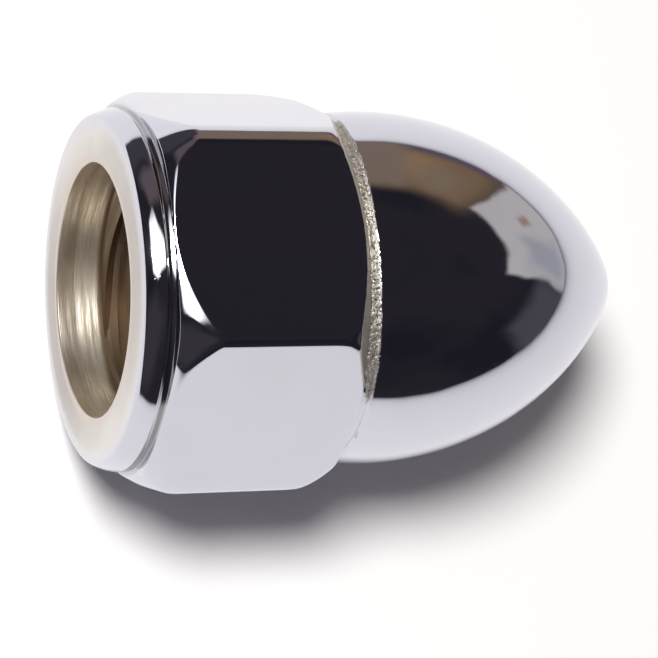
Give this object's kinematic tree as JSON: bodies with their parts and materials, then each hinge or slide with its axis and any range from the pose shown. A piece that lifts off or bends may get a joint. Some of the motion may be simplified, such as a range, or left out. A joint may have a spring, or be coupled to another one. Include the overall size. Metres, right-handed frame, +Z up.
{
  "type": "cap nut",
  "caption": "Chrome-plated hexagonal cap nut with a bullet-shaped closed dome, a turned seat collar and a blind tapped hole, lying on a flat.",
  "frame": {"origin": "on the plane that the nut lies on, straight under the middle of its length", "axes": "+X along the nut's axis from the threaded mouth to the dome's nose; +Z up, square to the hexagon's flat that it lies on"},
  "size_m": [0.022, 0.0164, 0.0143],
  "materials": {
    "chrome_plate": "polished chrome plate, mirror bright",
    "bare_steel": "dull, thinly plated and lightly stained steel in the hole and in the ring behind the hexagon"
  },
  "bodies": {
    "root": {"cap_nut": "chrome_plate"}
  },
  "joints": []
}
